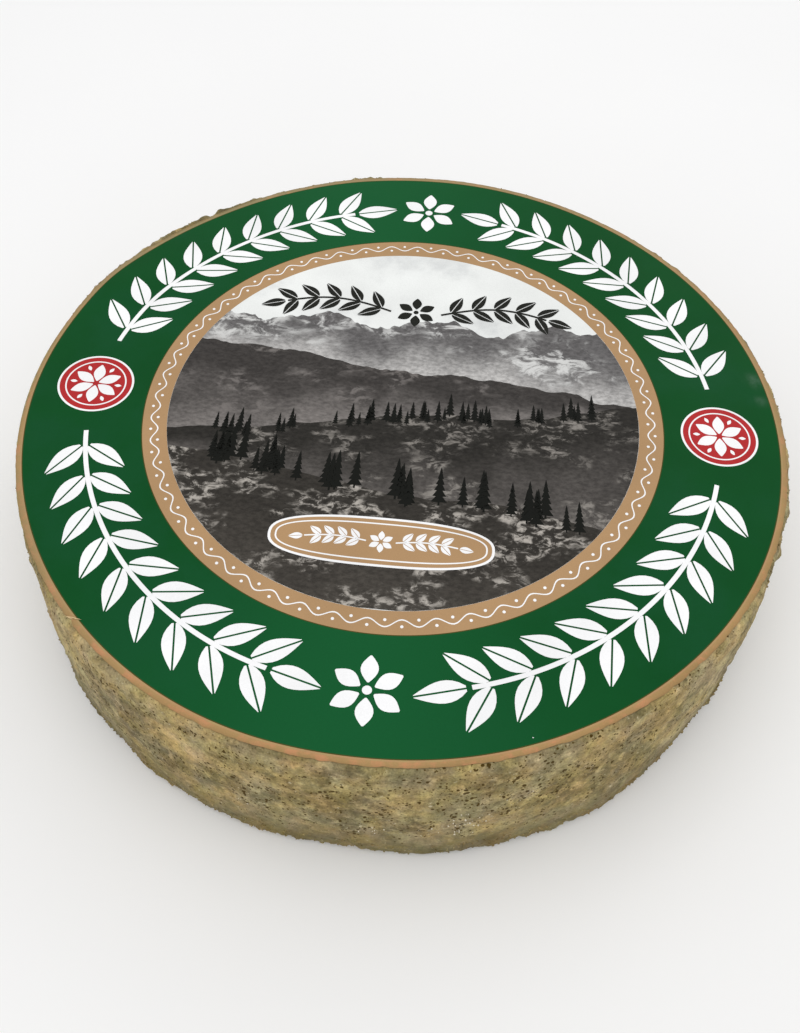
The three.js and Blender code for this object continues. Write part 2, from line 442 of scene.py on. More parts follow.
def ink_piece(name, patches, finishes, layer=0, finish_index=None):
    """Lays flat patches of print on the label: each is a set of grids of x, y points, lifted onto the paper.

    A grid whose last column lies on its first one is closed into a ring. The quads are turned to face up, and
    Solidify gives the ink a body that reaches just into the paper.
    """
    points = []
    faces = []
    index = []
    count = 0
    for number, patch in enumerate(patches):
        closed = np.allclose(patch[:, :, 0], patch[:, :, -1])
        if closed:
            patch = patch[:, :, :-1]
        copies, rows, columns, _ = patch.shape
        flat = patch.reshape(-1, 2)
        turned = turn_points(flat, LABEL_TURN)
        height = label_face(turned[:, 0], turned[:, 1]) + INK_LIFT + layer * INK_STEP
        points.append(np.column_stack([turned, height]))
        quads = grid_quads(rows, columns, closed)[None] + (np.arange(copies) * rows * columns)[:, None, None]
        quads = quads.reshape(-1, 4)
        across = flat[quads[:, 2]] - flat[quads[:, 0]]
        along = flat[quads[:, 3]] - flat[quads[:, 1]]
        upside_down = across[:, 0] * along[:, 1] - across[:, 1] * along[:, 0] < 0
        quads[upside_down] = quads[upside_down][:, ::-1]
        faces.append(quads + count)
        index.append(np.full(len(quads), finish_index[number] if finish_index else 0))
        count += len(flat)
    faces = np.vstack(faces).tolist()
    piece = mesh_piece(name, np.vstack(points), faces, finishes, np.concatenate(index), flat=True)
    body = piece.modifiers.new("ink body", "SOLIDIFY")
    body.thickness = INK_THICKNESS * MM
    body.offset = -1
    return piece


def turn_points(points, degrees):
    """Turns x, y points about the axis."""
    angle = math.radians(degrees)
    turn = np.array([[math.cos(angle), math.sin(angle)], [-math.sin(angle), math.cos(angle)]])
    return points @ turn


# Materials

def srgb(red, green, blue):
    """A colour as seen on a screen, 0 to 255, as linear light."""
    values = np.array([red, green, blue]) / 255
    linear = np.where(values <= 0.04045, values / 12.92, ((values + 0.055) / 1.055) ** 2.4)
    return (*linear.tolist(), 1.0)


# How strongly print mirrors its surroundings: coated paper is satin, not shiny
PRINT_SPECULAR = 0.055


class Finish:
    """One procedural material on Object coordinates, built by short calls that add and wire nodes."""

    def __init__(self, name, roughness=0.5, specular=0.5):
        self.material = bpy.data.materials.new(name)
        self.material.use_nodes = True
        self.nodes = self.material.node_tree.nodes
        self.links = self.material.node_tree.links
        self.shader = self.nodes["Principled BSDF"]
        self.shader.inputs["Roughness"].default_value = roughness
        self.shader.inputs["Specular IOR Level"].default_value = specular
        self.place = self.nodes.new("ShaderNodeTexCoord").outputs["Object"]

    def wire(self, socket, value):
        """Links a socket to another node's output, or sets it to a plain value."""
        if isinstance(value, bpy.types.NodeSocket):
            self.links.new(value, socket)
        else:
            socket.default_value = value

    def stretched(self, scale, shift=(0, 0, 0), turn=0.0):
        """Object coordinates times a scale, after a turn about Z and a shift."""
        node = self.nodes.new("ShaderNodeMapping")
        self.links.new(self.place, node.inputs["Vector"])
        node.inputs["Scale"].default_value = scale
        node.inputs["Location"].default_value = shift
        node.inputs["Rotation"].default_value = (0, 0, math.radians(turn))
        return node.outputs["Vector"]

    def noise(self, size, detail=2.0, roughness=0.5, place=None, distortion=0.0):
        """Cloudy noise whose patches are about size millimetres wide, from 0 to 1."""
        node = self.nodes.new("ShaderNodeTexNoise")
        self.wire(node.inputs["Vector"], place or self.place)
        node.inputs["Scale"].default_value = 1 / (size * MM)
        node.inputs["Detail"].default_value = detail
        node.inputs["Roughness"].default_value = roughness
        node.inputs["Distortion"].default_value = distortion
        return node.outputs["Fac"]

    def cells(self, size, place=None):
        """Distance to the nearest of scattered points, in cell widths, and each cell's random colour."""
        node = self.nodes.new("ShaderNodeTexVoronoi")
        self.wire(node.inputs["Vector"], place or self.place)
        node.inputs["Scale"].default_value = 1 / (size * MM)
        return node.outputs["Distance"], node.outputs["Color"]

    def warped(self, place, size, amount):
        """A place moved to and fro by noise of a size, up to half an amount in millimetres each way."""
        node = self.nodes.new("ShaderNodeTexNoise")
        self.wire(node.inputs["Vector"], place)
        node.inputs["Scale"].default_value = 1 / (size * MM)
        move = self.nodes.new("ShaderNodeVectorMath")
        move.operation = "MULTIPLY_ADD"
        self.links.new(node.outputs["Color"], move.inputs[0])
        move.inputs[1].default_value = (amount * MM,) * 3
        self.links.new(place, move.inputs[2])
        return move.outputs["Vector"]

    def attribute(self, name):
        """A number stored with the mesh's points."""
        node = self.nodes.new("ShaderNodeAttribute")
        node.attribute_name = name
        return node.outputs["Fac"]

    def spread(self, value, low, high, to_low=0.0, to_high=1.0):
        """Maps low to high smoothly onto to_low to to_high, and holds the ends."""
        node = self.nodes.new("ShaderNodeMapRange")
        node.interpolation_type = "SMOOTHSTEP"
        self.wire(node.inputs["Value"], value)
        self.wire(node.inputs["From Min"], low)
        self.wire(node.inputs["From Max"], high)
        node.inputs["To Min"].default_value = to_low
        node.inputs["To Max"].default_value = to_high
        return node.outputs["Result"]

    def sum(self, operation, first, second):
        """One arithmetic step, such as MULTIPLY or ADD."""
        node = self.nodes.new("ShaderNodeMath")
        node.operation = operation
        self.wire(node.inputs[0], first)
        self.wire(node.inputs[1], second)
        return node.outputs["Value"]

    def mix(self, share, first, second, blend="MIX"):
        """Mixes two colours by a share from 0 to 1."""
        node = self.nodes.new("ShaderNodeMix")
        node.data_type = "RGBA"
        node.blend_type = blend
        self.wire(node.inputs["Factor"], share)
        self.wire(node.inputs[6], first)
        self.wire(node.inputs[7], second)
        return node.outputs[2]

    def shade(self, colour, factor):
        """Darkens or lightens a colour by a grey factor."""
        grey = self.nodes.new("ShaderNodeCombineColor")
        for channel in range(3):
            self.wire(grey.inputs[channel], factor)
        return self.mix(1.0, colour, grey.outputs["Color"], "MULTIPLY")

    def bump(self, height, depth, under=None):
        """A bump whose full height is depth millimetres, laid over another bump if given."""
        node = self.nodes.new("ShaderNodeBump")
        self.wire(node.inputs["Height"], height)
        node.inputs["Distance"].default_value = depth * MM
        if under is not None:
            self.links.new(under, node.inputs["Normal"])
        return node.outputs["Normal"]

    def done(self, colour, roughness=None, normal=None):
        """Wires the colour, the roughness and the normal to the shader, and gives the material."""
        self.wire(self.shader.inputs["Base Color"], colour)
        if roughness is not None:
            self.wire(self.shader.inputs["Roughness"], roughness)
        if normal is not None:
            self.wire(self.shader.inputs["Normal"], normal)
        return self.material


# Colours of the rind: its two base tones, the greyer and lighter blotches over them, the tints of its patches
RIND_DULL = srgb(138, 124, 85)
RIND_LIGHT = srgb(176, 158, 111)
RIND_GREY = srgb(103, 92, 57)
RIND_BLOTCH = srgb(195, 175, 126)
RIND_PEACH = srgb(193, 166, 116)
# The foot's painted shade: darker and greyer towards the bottom
RIND_FOOT_SHADE = srgb(104, 94, 61)
RIND_HOLLOW = srgb(62, 47, 12)
RIND_BLOOM = srgb(228, 218, 186)

# Layers of dark specks: cell size, chance from which a cell has one, largest reach in cells, strength, colour
RIND_SPECKS = [
    (1.9, 0.05, 0.49, 0.95, srgb(70, 51, 2)),
    (1.1, 0.15, 0.52, 0.92, srgb(76, 57, 4)),
]

# Roughness of the dry rind and of its moist spots
DRY_RIND = (0.66, 0.66, 0.66, 1)
MOIST_RIND = (0.16, 0.16, 0.16, 1)


def rind_finish():
    """Natural rind: olive beige with grey and peach patches, drifts of hue, dark specks and moist spots."""
    finish = Finish("natural_rind", specular=0.1)
    plain = finish.stretched((1, 1, 0.9))
    streaky = finish.stretched((1, 1, 1.2), (0.3, 0.1, 0.2))
    elsewhere = finish.stretched((1, 1, 1.0), (0.7, 0.4, 0.9))
    tone = finish.spread(finish.noise(24, 5, 0.6, plain), 0.36, 0.64)
    colour = finish.mix(tone, RIND_DULL, RIND_LIGHT)
    cloud = finish.noise(8, 6, 0.7, streaky)
    grey = finish.sum("ADD", cloud, finish.sum("MULTIPLY", finish.attribute("grey"), 0.13))
    colour = finish.mix(finish.spread(grey, 0.50, 0.68, 0.0, 0.64), colour, RIND_GREY)
    blotch = finish.spread(finish.noise(6, 5, 0.68, elsewhere), 0.52, 0.68, 0.0, 0.7)
    colour = finish.mix(blotch, colour, RIND_BLOTCH)
    warm = finish.sum("MULTIPLY", finish.attribute("peach"), finish.spread(cloud, 0.74, 0.5))
    colour = finish.mix(finish.sum("MULTIPLY", warm, 0.95), colour, RIND_PEACH)
    colour = finish.shade(colour, finish.spread(finish.noise(4, 4, 0.62, plain), 0.3, 0.7, 0.76, 1.22))
    fine = finish.noise(0.8, 3, 0.6, plain)
    colour = finish.shade(colour, finish.spread(fine, 0.28, 0.72, 0.78, 1.2))
    # Painted shade: darker and greyer towards the foot
    colour = finish.mix(finish.sum("MULTIPLY", finish.attribute("foot_shade"), 0.7), colour, RIND_FOOT_SHADE)
    warmth = finish.noise(14, 4, 0.6, finish.stretched((1, 1, 0.8), (1.3, 0.6, 0.2)))
    warmth = finish.sum("SUBTRACT", warmth, finish.sum("MULTIPLY", finish.attribute("cool"), 0.12))
    hue = finish.mix(finish.spread(warmth, 0.36, 0.64), COOL_HUE, WARM_HUE)
    colour = finish.mix(1.0, colour, hue, "MULTIPLY")
    greenness = finish.noise(9, 4, 0.6, finish.stretched((1, 1, 0.8), (0.2, 1.7, 1.1)))
    hue = finish.mix(finish.spread(greenness, 0.36, 0.64), PINK_HUE, GREEN_HUE)
    colour = finish.mix(1.0, colour, hue, "MULTIPLY")
    colour = finish.shade(colour, finish.sum("ADD", finish.attribute("tone"), 1.0))
    cluster = finish.spread(finish.noise(7, 3, 0.55, elsewhere), 0.40, 0.54, 0.35, 1.0)
    cluster = finish.sum("MULTIPLY", cluster, finish.attribute("speckled"))
    for size, chance_from, largest, share, ink in RIND_SPECKS:
        distance, chance = finish.cells(size, finish.warped(plain, size / 2.5, size / 3))
        reach = finish.sum("MULTIPLY", finish.spread(chance, chance_from, 1.0, 0.0, largest), cluster)
        specks = finish.spread(finish.sum("SUBTRACT", reach, distance), -0.01, 0.07, 0.0, share)
        colour = finish.mix(specks, colour, ink)
    colour = finish.mix(finish.sum("MULTIPLY", finish.attribute("hollow"), 0.5), colour, RIND_HOLLOW)
    bloom = finish.spread(finish.noise(1.8, 3, 0.65, elsewhere), 0.63, 0.76, 0.0, 0.55)
    colour = finish.mix(bloom, colour, RIND_BLOOM)
    spots = finish.spread(finish.noise(1.6, 2, 0.5), 0.5, 0.62)
    moist = finish.sum("MULTIPLY", finish.attribute("moist"), spots)
    roughness = finish.mix(moist, DRY_RIND, MOIST_RIND)
    normal = finish.bump(finish.noise(2.4, 4, 0.65, plain), 0.3)
    normal = finish.bump(fine, 0.1, normal)
    return finish.done(colour, roughness, normal)


def ridge_finish(name, crest, foot, fleck, size, share):
    """Print of a ridge: dark at its crest, paler in the mist at its foot, with groups of flecks of rock."""
    finish = Finish(name, roughness=0.42, specular=PRINT_SPECULAR)
    slanting = finish.stretched((1, 1.6, 1), turn=25)
    drift = finish.spread(finish.noise(30, 4, 0.5), 0.2, 0.8, -0.25, 0.25)
    height = finish.sum("ADD", finish.attribute("rise"), drift)
    shade = finish.mix(finish.spread(height, 0.05, 0.8), foot, crest)
    grass = finish.noise(2.5, 5, 0.7, slanting)
    shade = finish.shade(shade, finish.spread(grass, 0.3, 0.7, 0.72, 1.3))
    groups = finish.spread(finish.noise(size * 5, 4, 0.6, slanting), 0.46, 0.6)
    flecks = finish.spread(finish.noise(size, 6, 0.7, slanting, 0.6), *share)
    shade = finish.mix(finish.sum("MULTIPLY", groups, flecks), shade, fleck)
    tooth = finish.noise(0.5, 2, 0.5)
    shade = finish.shade(shade, finish.spread(tooth, 0.3, 0.7, 0.96, 1.04))
    return finish.done(shade, normal=finish.bump(tooth, 0.01))


# The pale tint of the green band's painted highlights
HIGHLIGHT_TINT = srgb(190, 205, 200)


def print_finish(
    name, colour, second=None, size=14, share=(0.45, 0.65), roughness=0.42, border_shade=None, bright=None
):
    """Satin print on coated paper: one ink, or two in cloudy patches, with fine tooth and uneven gloss.

    With a border shade colour, that one shows as painted shade in patches where the mesh marks it. With a
    bright one, that one shows as painted sheen where the mesh marks it, and paler spots as painted highlights
    where it marks those.
    """
    finish = Finish(name, specular=PRINT_SPECULAR)
    tone = finish.spread(finish.noise(35, 3, 0.5), 0.3, 0.7, 0.94, 1.05)
    shade = finish.shade(colour, tone)
    if second:
        shade = finish.mix(finish.spread(finish.noise(size, 6, 0.62), *share), shade, second)
    # Painted shade: the border greyer in patches where the mesh marks it
    if border_shade:
        patches = finish.spread(finish.noise(5, 4, 0.6), 0.25, 0.5)
        shade = finish.mix(finish.sum("MULTIPLY", finish.attribute("border_shade"), patches), shade, border_shade)
    # Painted sheen where the mesh marks it
    if bright:
        shade = finish.mix(finish.attribute("bright"), shade, bright)
        # Painted highlights: paler spots where the mesh marks them
        spots = finish.spread(finish.noise(4, 4, 0.6), 0.2, 0.7, 0.02, 0.12)
        shade = finish.mix(finish.sum("MULTIPLY", finish.attribute("painted_highlight"), spots), shade, HIGHLIGHT_TINT)
    tooth = finish.noise(0.5, 2, 0.5)
    shade = finish.shade(shade, finish.spread(tooth, 0.3, 0.7, 0.97, 1.03))
    gloss = finish.spread(finish.noise(24, 2, 0.5), 0.3, 0.7, roughness - 0.04, roughness + 0.05)
    return finish.done(shade, gloss, finish.bump(tooth, 0.01))


# The rind

def wheel_rows():
    """Half section of the cheese from the foot to the shoulder's start: radius, height and outward normal."""
    neck = (NECK_RADIUS, WHEEL_HEIGHT - SHOULDER_HEIGHT)
    middle = ((FOOT_RADIUS + NECK_RADIUS) / 2 + 2 * SIDE_BULGE, (FOOT_ROUND_HEIGHT + neck[1]) / 2)
    foot = curve_between((BASE_FLAT_RADIUS, 0), (FOOT_RADIUS, 0), (FOOT_RADIUS, FOOT_ROUND_HEIGHT), FOOT_ROWS)
    side = curve_between((FOOT_RADIUS, FOOT_ROUND_HEIGHT), middle, neck, SIDE_ROWS)
    start = (SHOULDER_START_RADIUS, WHEEL_HEIGHT)
    shoulder = curve_between(neck, (NECK_RADIUS, WHEEL_HEIGHT), start, SHOULDER_ROWS)
    rows = np.vstack([foot, side[1:], shoulder[1:]])
    along = np.gradient(rows, axis=0)
    normal = np.column_stack([along[:, 1], -along[:, 0]])
    normal /= np.linalg.norm(normal, axis=1)[:, None]
    return rows, normal


def rind_grain(x, y, z):
    """Fine relief of the rind: lumps, level streaks and granules, layers of noise, coarser at the foot."""
    lumps = 0.5 * grain(x / 13, y / 13, z / 10, SEED) + 0.35 * grain(x / 6, y / 6, z / 4.5, SEED + 1)
    streaks = 0.25 * grain(x / 10, y / 10, z / 3.2, SEED + 2)
    granules = 0.3 * grain(x / 2.8, y / 2.8, z / 2.4, SEED + 3)
    granules = granules + 0.2 * grain(x / 1.8, y / 1.8, z / 1.7, SEED + 4)
    ragged = 1.1 * grain(x / 3, y / 3, z / 3.5, SEED + 5) * (1 - smooth(z, 2, 9))
    return lumps + streaks + granules + ragged


def rind_pits(height):
    """Depth and darkness of pits over the grid: oval bells at random places, the strongest one winning.

    Most pits lie in the upper part of the side, and the cracks of the shoulder are added to them.
    """
    draw = np.random.default_rng(SEED)
    at_bearing = draw.uniform(0, 360, PIT_COUNT)
    at_height = PIT_LOWEST + PIT_SPAN * draw.uniform(0, 1, PIT_COUNT) ** PIT_CROWDING
    wide = draw.uniform(*PIT_HALF_WIDTH, PIT_COUNT)
    tall = wide * draw.uniform(*PIT_FLATNESS, PIT_COUNT)
    deep = draw.uniform(*PIT_DEPTH, PIT_COUNT) * wide
    dark = draw.uniform(*PIT_DARKNESS, PIT_COUNT)
    scattered = np.column_stack([at_bearing, at_height, wide, tall, deep, dark])
    cracks = np.column_stack([CRACKS, np.ones(len(CRACKS))])
    at_bearing, at_height, wide, tall, deep, dark = np.vstack([scattered, cracks]).T
    place = at_bearing * RIND_COLUMNS / 360
    at_column = np.round(place).astype(int)
    at_row = np.searchsorted(height, at_height)
    reach = np.arange(-PIT_REACH, PIT_REACH + 1)
    columns = at_column[:, None, None] + reach[None, None, :]
    rows = np.clip(at_row[:, None, None] + reach[None, :, None], 0, len(height) - 1)
    columns, rows = np.broadcast_arrays(columns, rows)
    across = (columns - place[:, None, None]) * (2 * math.pi * FOOT_RADIUS / RIND_COLUMNS)
    up = height[rows] - at_height[:, None, None]
    bell = hump(np.hypot(across / wide[:, None, None], up / tall[:, None, None]))
    pits = np.zeros((2, len(height), RIND_COLUMNS))
    for layer, strength in enumerate((deep, dark)):
        np.maximum.at(pits[layer], (rows, columns % RIND_COLUMNS), strength[:, None, None] * bell)
    return pits


def ovals(patches, bearing, height):
    """The sum of a list's oval bells over the grid."""
    degrees = np.degrees(bearing)
    return sum(
        strength * hump(np.hypot(turn_between(degrees, at) / wide, (height - middle) / tall))
        for at, middle, wide, tall, strength in patches
    )


def patchwork(patches, bearing, height):
    """Strength of a list of patches over the grid: the sum of their oval bells, at most 1 either way."""
    return np.clip(ovals(patches, bearing, height), -1, 1)


def rind_bits(bearing, height):
    """How far bits of rind stick out: the oval bells of the listed ones and of many small seeded ones."""
    draw = np.random.default_rng(SEED + 5)
    small = np.column_stack([draw.uniform(*span, SMALL_BITS) for span in SMALL_BIT_RANGES])
    return ovals(np.vstack([RIND_BITS, small]), bearing, height)


def rind_wheel(finish):
    """The cheese: its half section carried round the axis, moved out by its relief and the rind's grain."""
    rows, normal = wheel_rows()
    bearing = np.linspace(0, 2 * math.pi, RIND_COLUMNS, endpoint=False)[None]
    radius, height = rows[:, :1], rows[:, 1:]
    under_label = (radius <= LABEL_RADIUS) & (height > WHEEL_HEIGHT / 2)
    below_label = 1 - smooth(height, LABEL_EDGE_HEIGHT - RELIEF_START, LABEL_EDGE_HEIGHT)
    upper = smooth(height, WHEEL_HEIGHT / 2, LABEL_EDGE_HEIGHT)
    past_edge = smooth(radius, LABEL_RADIUS, LABEL_RADIUS + LIP_WIDTH)
    lip = around(RIND_LIPS, bearing) * past_edge * smooth(height, WHEEL_HEIGHT - LIP_DEPTH, LABEL_EDGE_HEIGHT)
    torn = 1 - LIP_GAP_DEPTH * np.clip(around(LIP_GAPS, bearing), 0, 1)
    ragged = grain_round(bearing, LIP_STEPS, 0.4, SEED + 9)
    lip = lip * (LIP_SHARE * torn + LIP_RAGGED * ragged)
    rough = np.clip(grain_round(bearing, NECK_RADIUS / RIM_GRANULE, 0.8, SEED + 10) + RIM_BIAS, 0, 1)
    rough = rough * (RIM_FRONT_SHARE + (1 - RIM_FRONT_SHARE) * smooth(np.sin(bearing), *RIM_FADE))
    near_rim = smooth(height, WHEEL_HEIGHT - RIM_DEPTH, LABEL_EDGE_HEIGHT)
    lip = lip + RIM_ROUGHNESS * rough * past_edge * near_rim
    out = np.where(under_label, 0, side_relief(bearing, height) * below_label)
    rim_rise = rim_swell(bearing, SHOULDER_START_RADIUS) * upper
    rise = np.where(under_label, rim_swell(bearing, radius), rim_rise + lip)
    x, y = radius * np.cos(bearing), radius * np.sin(bearing)
    pits, darkness = rind_pits(rows[:, 1])
    shown = np.where(under_label, 0, past_edge)
    shown = np.where(height < WHEEL_HEIGHT / 2, 1, shown)
    inset = around([PAPER_INSET], bearing) * smooth(height, *INSET_HEIGHTS)
    fine = (rind_grain(x, y, height + 0 * x) - pits + rind_bits(bearing, height) - inset) * shown
    full_radius = radius + out + fine * normal[:, :1]
    full_height = np.maximum(height + rise + fine * normal[:, 1:], 0)
    full_height[0] = 0
    side = np.dstack([polar(full_radius, bearing), full_height])
    hidden = np.array(HIDDEN_RINGS, float)[:, None]
    top = np.dstack([polar(hidden, bearing), WHEEL_HEIGHT + rim_swell(bearing, hidden)])
    grid = np.concatenate([side, top])
    count = grid.shape[0] * RIND_COLUMNS
    points = np.vstack([grid.reshape(-1, 3), [[0, 0, 0], [0, 0, WHEEL_HEIGHT]]])
    faces = grid_quads(grid.shape[0], RIND_COLUMNS, wrap=True).tolist()
    faces += fan_triangles(np.arange(RIND_COLUMNS), count, -1).tolist()
    faces += fan_triangles(np.arange(count - RIND_COLUMNS, count), count + 1, 1).tolist()
    piece = mesh_piece("rind_wheel", points, faces, [finish], replaces="cheese_wheel")
    peach = patchwork(PEACH_PATCHES, bearing, height)
    left_of = smooth(turn_between(np.degrees(bearing), CLEAR_BEARING), CLEAR_FADE, -CLEAR_FADE)
    clear_rim = CLEAR_RIM * smooth(height, *CLEAR_HEIGHTS) * left_of
    speckled = (FOOT_SPECKS + (1 - FOOT_SPECKS) * smooth(height, *SPECK_HEIGHTS)) * (1 - clear_rim)
    tints = {
        "hollow": darkness * shown,
        "grey": patchwork(GREY_PATCHES, bearing, height),
        "tone": patchwork(TONE_PATCHES, bearing, height),
        "peach": peach,
        "cool": patchwork(COOL_PATCHES, bearing, height),
        "moist": patchwork(MOIST_PATCHES, bearing, height),
        # painted shade, strongest at the foot
        "foot_shade": 1 - smooth(height, *FOOT_SHADE_HEIGHTS) + 0 * bearing,
        "speckled": speckled * (1 - 0.5 * peach) * (1 - patchwork(QUIET_PATCHES, bearing, height)),
    }
    for name, strength in tints.items():
        values = np.zeros(len(points))
        values[: strength.size] = strength.ravel()
        store(piece, name, values)
    return side


# Lumps: the latitudes and longitudes of their grid, ranges of dents and of stretch, their lowest height
LUMP_LATITUDES = (-50, 0, 50)
LUMP_LONGITUDES = range(0, 360, 60)
LUMP_DENTS = (0.65, 1.3)
LUMP_STRETCH = (0.7, 1.2)
LUMP_LOWEST = 0.02


def lumps(at, size, draw):
    """Small lumps round places: each a ball on a grid of latitudes and longitudes, closed and dented.

    Gives the points and the faces of all the lumps.
    """
    latitude = np.radians(LUMP_LATITUDES)[:, None]
    longitude = np.radians(LUMP_LONGITUDES)[None]
    belt = np.dstack([polar(np.cos(latitude), longitude), np.sin(latitude) + 0 * longitude])
    ball = np.vstack([belt.reshape(-1, 3), [[0, 0, -1], [0, 0, 1]]])
    count = len(at)
    shapes = ball[None] * draw.uniform(*LUMP_DENTS, (count, len(ball), 1))
    shapes = shapes * draw.uniform(*LUMP_STRETCH, (count, 1, 3))
    points = at[:, None] + shapes * size[:, None, None]
    points[..., 2] = np.maximum(points[..., 2], LUMP_LOWEST)
    belts, around_it = belt.shape[:2]
    quads = grid_quads(belts, around_it, wrap=True)
    low = fan_triangles(np.arange(around_it), belts * around_it, -1)
    high = fan_triangles(np.arange(around_it) + (belts - 1) * around_it, belts * around_it + 1, 1)
    steps = np.arange(count)[:, None, None] * len(ball)
    faces = (quads[None] + steps).reshape(-1, 4).tolist()
    for fan in (low, high):
        faces += (fan[None] + steps).reshape(-1, 3).tolist()
    return points.reshape(-1, 3), faces


def rind_crumbs(side, finish):
    """Granules that stick to the rind's foot and rim: lumps half sunk in it at random points there."""
    draw = np.random.default_rng(SEED + 1)
    foot_row = draw.integers(*FOOT_GRANULE_ROWS, FOOT_GRANULES)
    row = np.concatenate([foot_row, draw.integers(*RIM_GRANULE_ROWS, RIM_GRANULES)])
    column = draw.integers(0, RIND_COLUMNS, FOOT_GRANULES + RIM_GRANULES)
    foot_size = draw.uniform(*FOOT_GRANULE_SIZES, FOOT_GRANULES)
    size = np.concatenate([foot_size, draw.uniform(*RIM_GRANULE_SIZES, RIM_GRANULES)])
    points, faces = lumps(side[row, column], size, draw)
    piece = mesh_piece("rind_crumbs", points, faces, [finish])
    for name, strength in GRANULE_TINTS.items():
        store(piece, name, np.full(len(points), strength))


def moist_beads(side, finish):
    """Tiny glossy drops on the moist patches, pale so that they are partly painted glints: lumps at random
    points round their middles.
    """
    draw = np.random.default_rng(SEED + 3)
    places = []
    for at, middle, wide, tall, strength in MOIST_PATCHES:
        count = round(wide * tall * BEADS_PER_AREA * strength)
        column = np.round((at + draw.normal(0, wide / 2, count)) * RIND_COLUMNS / 360).astype(int)
        height = middle + draw.normal(0, tall / 2, count)
        steps = (height - FOOT_ROUND_HEIGHT) / WHEEL_HEIGHT * SIDE_ROWS * BEAD_ROW_STRETCH
        row = FOOT_ROWS + np.round(steps).astype(int)
        places.append(side[np.clip(row, BEAD_LOWEST_ROW, FOOT_ROWS + SIDE_ROWS), column])
    at = np.concatenate(places)
    points, faces = lumps(at, draw.uniform(*BEAD_SIZES, len(at)), draw)
    mesh_piece("moist_beads", points, faces, [finish])


# The label

def label_outline(bearing):
    """Radius of the paper's edge: cut by eye, so it wanders a little, with one small nick."""
    wander = sum(
        grain_round(bearing, steps, 0.3, SEED + 7 + layer) * swing
        for layer, (steps, swing) in enumerate(EDGE_WANDER)
    )
    return LABEL_RADIUS + EDGE_OFFSET + wander - around([EDGE_NICK], bearing) - around([PAPER_INSET], bearing)


def label_paper(finishes):
    """The label: rings from the underside's middle out, over the cut edge and back along the printed face.

    Each ring has its own print, so the rings' borders are edges of the mesh.
    """
    bearing = np.linspace(0, 2 * math.pi, LABEL_COLUMNS, endpoint=False)
    edge = label_outline(bearing)
    sky, tan, green, line, edging, border, paper = range(7)
    bands = [
        (PICTURE_RADIUS, sky),
        (INNER_RING_RADIUS - PRINT_LINE, tan),
        (INNER_RING_RADIUS, line),
        (BAND_RADIUS, green),
        (BAND_RADIUS + PRINT_LINE, line),
        (BORDER_TINT_RADIUS, edging),
        (LABEL_RADIUS, border),
    ]
    radii = [np.array([LABEL_RING_STEP])]
    prints = []
    start = LABEL_RING_STEP
    for outer, ink in bands:
        steps = max(1, round((outer - start) / LABEL_RING_STEP))
        radii.append(np.linspace(start, outer, steps + 1)[1:])
        prints += [ink] * steps
        start = outer
    radii = np.concatenate(radii)
    face = np.repeat(radii[:, None], LABEL_COLUMNS, 1)
    face[-1] = edge
    below = np.array([edge, *(np.full(LABEL_COLUMNS, r) for r in (LABEL_UNDER_RADIUS, *HIDDEN_RINGS))])[::-1]
    rows = np.concatenate([below, face[::-1]])
    x, y = rows * np.cos(bearing), rows * np.sin(bearing)
    z = label_face(x, y)
    z[: len(below)] -= LABEL_THICKNESS
    count = rows.size
    hub = float(label_face(np.zeros(1), np.zeros(1))[0])
    points = np.vstack(
        [np.stack([x, y, z], -1).reshape(-1, 3), [[0, 0, hub - LABEL_THICKNESS], [0, 0, hub]]]
    )
    faces = grid_quads(len(rows), LABEL_COLUMNS, wrap=True).tolist()
    faces += fan_triangles(np.arange(LABEL_COLUMNS), count, -1).tolist()
    faces += fan_triangles(np.arange(count - LABEL_COLUMNS, count), count + 1, 1).tolist()
    strips = [paper] * len(below) + prints[::-1]
    index = np.repeat(strips, LABEL_COLUMNS)
    index = np.concatenate([index, np.full(LABEL_COLUMNS, paper), np.full(LABEL_COLUMNS, sky)])
    piece = mesh_piece("label_paper", points, faces, finishes, index, replaces="paper_label")
    turn = np.arctan2(points[:, 1], points[:, 0])
    radius = np.hypot(points[:, 0], points[:, 1])
    # Painted shade of the border, painted sheen of the green band and its painted highlights
    tints = {
        "border_shade": np.clip(around(SHADED_BORDER, turn), 0, 1) * (radius > BAND_RADIUS - 0.01),
        "bright": np.clip(around(SHEEN_BAND, turn), 0, 1),
        "painted_highlight": patchwork(HIGHLIGHT_SPOTS, turn, radius),
    }
    for name, strength in tints.items():
        store(piece, name, strength)


def label_sliver(finish):
    """A frayed fibre of paper over the border: two narrow strips that meet in a V, arched off the label."""
    t = np.linspace(0, 1, SLIVER_STEPS)
    strips = []
    for start, end in SLIVER_STRIPS:
        radius = start[0] + (end[0] - start[0]) * t
        bearing = np.radians(start[1] + (end[1] - start[1]) * t + SLIVER_BOW * np.sin(math.pi * t))
        flat = ribbon(polar(radius, bearing), SLIVER_HALF_WIDTH * np.sin(math.pi * (0.1 + 0.85 * t)))[0]
        lift = SLIVER_LIFT + SLIVER_ARCH * np.sin(math.pi * t)
        strips.append(np.dstack([flat, label_face(flat[..., 0], flat[..., 1]) + lift[:, None]]))
    points = np.array(strips).reshape(-1, 3)
    quads = grid_quads(len(t), 2)
    faces = np.vstack([quads, quads + 2 * len(t)])[:, ::-1]
    piece = mesh_piece("label_sliver", points, faces.tolist(), [finish])
    body = piece.modifiers.new("paper body", "SOLIDIFY")
    body.thickness = SLIVER_THICKNESS * MM


